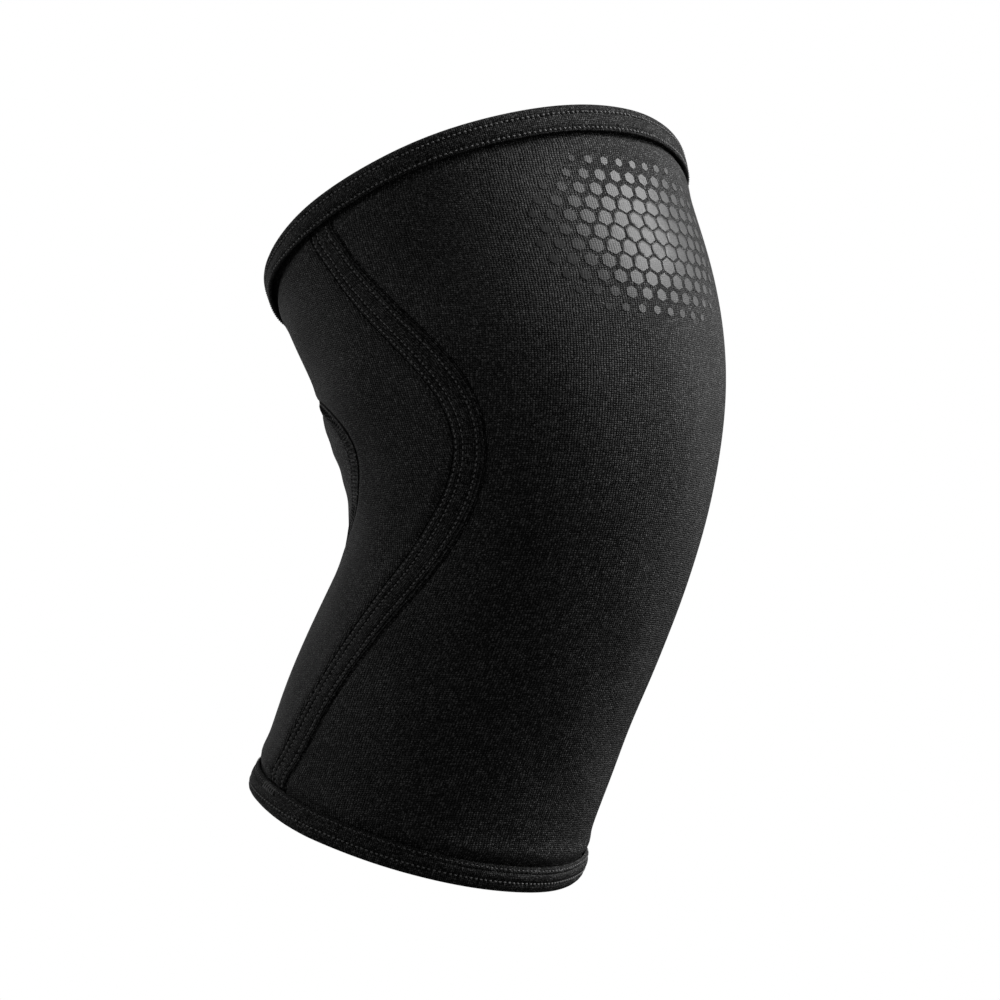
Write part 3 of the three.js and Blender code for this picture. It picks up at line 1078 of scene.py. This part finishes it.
def binding_stitches(name, rim):
    count = np.arange(rim_phases[rim][2], dtype=float)
    parts = []
    for number, (row, shift, _, _) in enumerate(BINDING_ROWS[rim]):
        middle = jittered(count + shift, STRAY, BINDING_SEED + number)
        starts = binding_place(rim, row, middle - HEM_STITCH_SHARE)
        ends = nearest_turns(starts, binding_place(rim, row, middle + HEM_STITCH_SHARE))
        fine = rim < 0 and number == 1
        parts.append(threads(starts, ends, *(FINE_HEM_THREAD if fine else HEM_THREAD)))
    if rim < 0:
        for side in (1, -1):
            parts += bar_tack(rim, side)
    return joined(name, parts, thread)


def bar_tack(rim, side):
    middle = rim_phase(rim, side * float(band_angle_at(np.array(rim)))) * BINDING_PITCH
    lengths = middle + np.arange(-TACK_WIDTH / 2, TACK_WIDTH / 2, TACK_PITCH)
    parts = []
    for shift in (0.0, 0.5):
        top = binding_place(rim, TACK_TOP, (lengths + shift * TACK_PITCH) / BINDING_PITCH)
        bottom = binding_place(rim, TACK_BOTTOM, (lengths + (0.5 - shift) * TACK_PITCH) / BINDING_PITCH)
        parts.append(threads(top, nearest_turns(top, bottom), *TACK_THREAD))
    return parts


def knee_pit_seam():
    """The flat seam's threads on the insert, and a black cord beside them that paints the seam's shade."""
    total = edge_lengths[-1]
    count = round(total / SEAM_PITCH)
    run = jittered(np.arange(count) * total / count, SEAM_STRAY, SEAM_SEED)

    def inner_place(inward, lean, rise=0.0):
        """Places so far inside the window's edge, along it and off the insert."""
        moved = np.interp((run + lean) % total, edge_lengths, EDGE_ANGLES)
        edge_column, edge_s = window_edge(moved)
        middle = surface(math.pi, -CORNER_DROP)
        reach = np.linalg.norm(back_point(edge_column, edge_s) - middle, axis=-1)
        c, place = drawn_in(edge_column, edge_s, 1 - inward / reach)
        turn = on_back(c, place)
        relief = insert_relief(turn, place, np.full_like(place, inward), run)
        return turn, place, relief - INSERT_RECESS + rise

    across = inner_place(ACROSS_START, 0.0), inner_place(ACROSS_END, ACROSS_LEAN)
    closing = inner_place(CLOSING_PLACE, -CLOSING_HALF), inner_place(CLOSING_PLACE, CLOSING_HALF)
    parts = [threads(*across, *SEAM_THREAD), threads(*closing, *SEAM_ROW_THREAD)]
    # Painted shade: rings of black cord in the seam stand in for the dark gap at the window's edge.
    shadow_cords = [threads(inner_place(inward, -SHADOW_CORD_HALF, rise), inner_place(inward, SHADOW_CORD_HALF, rise),
                      *SHADOW_CORD_THREAD) for inward, rise in SHADOW_CORD_RINGS]
    return (joined("knee_pit_stitches", parts, seam_thread),
            joined("knee_pit_shadow_cord", shadow_cords, shadow_cord_thread))


# A generic print on the front of the thigh: hexagons of film that shrink towards its edges.
PRINT_MIDDLE = (4.0, 73.0)
PRINT_WIDTH = 92.0
PRINT_HEIGHT = 63.0
CELL = 6.6
FILM = 0.12
FILM_SINK = 0.1

# How much of its cell a hexagon fills in the middle, and loses at the print's edge.
CELL_FILL = 0.96
CELL_LOSS = 0.62


KNIT_STEPS = 12


def off_knit(across, along):
    """Turn and s of a place in the front panel's knit, found by steps from a rough guess."""
    turn, s = across / 75, along * 0.9
    for _ in range(KNIT_STEPS):
        here = front_knit(turn, s)
        turn = turn + (across - here[..., 0]) / turn_rate(turn, s)
        s = s + (along - here[..., 1]) / along_rate(turn, s)
    return turn, s


HEXAGON_RINGS = (0.55, 0.94, 1.0)


def print_cells():
    """Middle and size of each hexagon, in the knit's millimetres from the print's middle."""
    row_step = CELL * math.sqrt(3) / 2
    rows = math.ceil(PRINT_HEIGHT / 2 / row_step)
    columns = math.ceil(PRINT_WIDTH / 2 / CELL)
    for row in range(-rows, rows + 1):
        for column in range(-columns, columns + 1):
            x, y = (column + 0.5 * (row % 2)) * CELL, row * row_step
            across, up = abs(x) / (PRINT_WIDTH / 2), abs(y) / (PRINT_HEIGHT / 2)
            reach = max(across, up, (across + up) / 1.45)
            if reach <= 1:
                fill = CELL_FILL - CELL_LOSS * max(reach, 0.15) ** 2.2
                yield (x, y), CELL / math.sqrt(3) * fill


def thigh_print():
    corners = np.arange(6) * math.pi / 3
    hexagon = np.stack([np.sin(corners), np.cos(corners)], -1)
    rings = np.concatenate([hexagon * share for share in HEXAGON_RINGS])
    heights = np.repeat([FILM, FILM, -FILM_SINK], 6)
    cells = list(print_cells())
    places = np.concatenate([np.array(PRINT_MIDDLE) + middle + rings * size for middle, size in cells])
    faces = prisms(len(HEXAGON_RINGS), len(cells))
    turn, s = off_knit(places[:, 0], places[:, 1])
    out = panel_relief(turn, s) + np.tile(heights, len(cells))
    return build("thigh_print", surface(turn, s, out), faces, places, print_film)


# Every piece, with the solid that it stands for, which is hidden, and the slot of its finish.

front_cloth = front_panel()
back_cloth = back_panel()
pit_cloth = knee_pit_insert()
band_right = side_band("side_band_cloth_right", 1)
band_left = side_band("side_band_cloth_left", -1)
top_hem = binding("top_binding_cloth", THIGH_LENGTH, 860)
bottom_hem = binding("bottom_binding_cloth", -CALF_LENGTH, 670)

film = thigh_print()
# The insert's seam threads, and the black cord that paints the seam's shade.
pit_threads, pit_shadow_cord = knee_pit_seam()
band_threads_right = band_stitches("side_band_stitches_right", 1)
band_threads_left = band_stitches("side_band_stitches_left", -1)
band_cover_right = band_cover("side_band_cover_right", 1)
band_cover_left = band_cover("side_band_cover_left", -1)
top_threads = binding_stitches("top_binding_stitches", THIGH_LENGTH)
bottom_threads = binding_stitches("bottom_binding_stitches", -CALF_LENGTH)

for piece, node, slot in (
    (front_cloth, "front_panel", "neoprene_knit"),
    (back_cloth, "back_panel", "neoprene_knit"),
    (pit_cloth, "knee_pit_insert", "insert_knit"),
    (band_right, "side_band_right", "band_knit"),
    (band_left, "side_band_left", "band_knit"),
    (top_hem, "top_binding", "binding_knit"),
    (bottom_hem, "bottom_binding", "binding_knit"),
):
    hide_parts(node)


# Flat sizes, in metres: the cut of each cloth before it was sewn up.

def area_of(points):
    """Area of a grid of points, in square metres."""
    across, up = np.diff(points, axis=1)[:-1], np.diff(points, axis=0)[:, :-1]
    return float(np.linalg.norm(np.cross(across, up), axis=-1).sum()) * MILLIMETRE ** 2


def declare_panel(knit, points):
    """A cut panel: its area. The knit is not used."""
    area_of(points)


MIDDLE_OF_WALL = -WALL / 2
front_s, front_share = np.meshgrid(
    np.linspace(WALL_BOTTOM, WALL_TOP, 120), np.linspace(-1, 1, 120), indexing="ij")
front_turn = beside(front_s, -BAND_WIDTH / 2 - SEAM_GAP) * front_share
declare_panel(front_knit(front_turn, front_s),
              surface(front_turn, front_s, MIDDLE_OF_WALL))

outline_column, outline_s = back_outline(90, 90)
back_start = outline_share(outline_column, outline_s, window_size(0))
back_share = back_start + (1 - back_start) * np.linspace(0, 1, 40)[:, None]
back_column, back_s = drawn_in(outline_column, outline_s, back_share)
back_turn = on_back(back_column, back_s)
declare_panel(back_knit(back_turn, back_s),
              surface(back_turn, back_s, MIDDLE_OF_WALL))

pit_share = np.linspace(0, 1, 60)[:, None]
pit_column, pit_s = drawn_in(edge_columns[::4], edge_places[::4], pit_share)
pit_turn = on_back(pit_column, pit_s)
declare_panel(back_knit(pit_turn, pit_s),
              surface(pit_turn, pit_s, -INSERT_RECESS - INSERT_WALL / 2))

band_length = float(band_length_at(WALL_TOP) - band_length_at(WALL_BOTTOM))
for piece, stitches in (
    (band_right, [band_threads_right, band_cover_right]),
    (band_left, [band_threads_left, band_cover_left]),
):
    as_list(stitches)

for piece, rim, stitches in (
    (top_hem, THIGH_LENGTH, top_threads), (bottom_hem, -CALF_LENGTH, bottom_threads),
):
    ring = surface(np.linspace(0, 2 * math.pi, 721), rim, MIDDLE_OF_WALL)
    running_length(ring[None], 1)[0, -1] * MILLIMETRE


# Camera at the photo's angle. The knee's centre lies at this pixel of the photo's 1000 x 1000.

VIEW_AZIMUTH = math.radians(-45)
VIEW_ELEVATION = math.radians(-5)
VIEW_DISTANCE = 1.6
PHOTO_SIDE = 1000
PIXEL = 0.36 * MILLIMETRE
KNEE_PIXEL = (526, 450)
SENSOR = 36.0


def direction(azimuth, elevation):
    """Unit vector from the knee, with azimuth 0 towards -Y."""
    level = math.cos(elevation)
    return Vector((math.sin(azimuth) * level, -math.cos(azimuth) * level, math.sin(elevation)))


towards_camera = direction(VIEW_AZIMUTH, VIEW_ELEVATION)
view_right = Vector((math.cos(VIEW_AZIMUTH), math.sin(VIEW_AZIMUTH), 0))
view_up = towards_camera.cross(view_right)
aim = (-view_right * (KNEE_PIXEL[0] - PHOTO_SIDE / 2) - view_up * (PHOTO_SIDE / 2 - KNEE_PIXEL[1])) * PIXEL

camera_data = bpy.data.cameras.new("camera")
camera_data.sensor_width = SENSOR
camera_data.lens = SENSOR * VIEW_DISTANCE / (PHOTO_SIDE * PIXEL)
camera_data.clip_start = 0.05
camera = bpy.data.objects.new("camera", camera_data)
camera.location = aim + towards_camera * VIEW_DISTANCE
camera.rotation_euler = (-towards_camera).to_track_quat("-Z", "Y").to_euler()
bpy.context.scene.collection.objects.link(camera)
bpy.context.scene.camera = camera


# Studio: a white surround, seven soft lights and a pale floor.

bpy.context.scene.view_settings.view_transform = "Standard"
bpy.context.scene.view_settings.look = "None"

WHITE = (1.0, 1.0, 1.0, 1.0)
SURROUND_LIGHT = 0.045

world = bpy.data.worlds.new("studio")
bpy.context.scene.world = world
world.use_nodes = True
world_nodes = world.node_tree.nodes
world_links = world.node_tree.links
background = world_nodes["Background"]
seen = world_nodes.new("ShaderNodeBackground")
for node, strength in ((background, SURROUND_LIGHT), (seen, 1.0)):
    node.inputs["Color"].default_value = WHITE
    node.inputs["Strength"].default_value = strength
path = world_nodes.new("ShaderNodeLightPath")
mix = world_nodes.new("ShaderNodeMixShader")
world_links.new(path.outputs["Is Camera Ray"], mix.inputs[0])
world_links.new(background.outputs[0], mix.inputs[1])
world_links.new(seen.outputs[0], mix.inputs[2])
world_links.new(mix.outputs[0], world_nodes["World Output"].inputs["Surface"])


# Soft lights, aimed at the knee: degrees turned from the camera to the right and raised, radiance.
SOFTBOX_WIDTH = 0.7
SOFTBOX_HEIGHT = 0.8
SOFTBOX_DISTANCE = 1.3

for name, turned, raised, radiance in (
    ("light_right", 86, 28, 2.1),
    ("light_right_high", 92, 46, 6.3),
    ("light_right_behind", 130, 10, 1.4),
    ("light_left", -95, 12, 0.8),
    ("light_left_behind", -120, 30, 0.6),
    ("light_left_rim", -150, 0, 0.33),
    ("light_front", 0, 15, 0.28),
):
    light = bpy.data.lights.new(name, "AREA")
    light.shape = "RECTANGLE"
    light.size = SOFTBOX_WIDTH
    light.size_y = SOFTBOX_HEIGHT
    light.energy = radiance * math.pi * SOFTBOX_WIDTH * SOFTBOX_HEIGHT
    lamp = bpy.data.objects.new(name, light)
    lamp.location = SOFTBOX_DISTANCE * direction(VIEW_AZIMUTH + math.radians(turned), math.radians(raised))
    lamp.rotation_euler = lamp.location.to_track_quat("Z", "Y").to_euler()
    bpy.context.scene.collection.objects.link(lamp)

FLOOR_LEVEL = -0.30
FLOOR_RADIUS = 3.3
FLOOR_SIDES = 96
floor_mesh = bpy.data.meshes.new("floor")
floor_turns = [2 * math.pi * i / FLOOR_SIDES for i in range(FLOOR_SIDES)]
floor_mesh.from_pydata(
    [(FLOOR_RADIUS * math.cos(t), FLOOR_RADIUS * math.sin(t), FLOOR_LEVEL) for t in floor_turns],
    [], [list(range(FLOOR_SIDES))])
floor = bpy.data.objects.new("floor", floor_mesh)
bpy.context.scene.collection.objects.link(floor)
floor.visible_diffuse = False
floor.visible_glossy = False
floor_finish = Finish("floor", Roughness=0.9, Specular_IOR_Level=0.2)
floor_place = floor_finish.add("ShaderNodeTexCoord").outputs["Object"]
floor_finish.colour(floor_finish.noise(floor_place, 6.0, 3.0, 0.5), 0.84, 0.88)
floor_finish.shader.inputs["Emission Color"].default_value = WHITE
floor_finish.shader.inputs["Emission Strength"].default_value = 0.5
floor_mesh.materials.append(floor_finish.material)
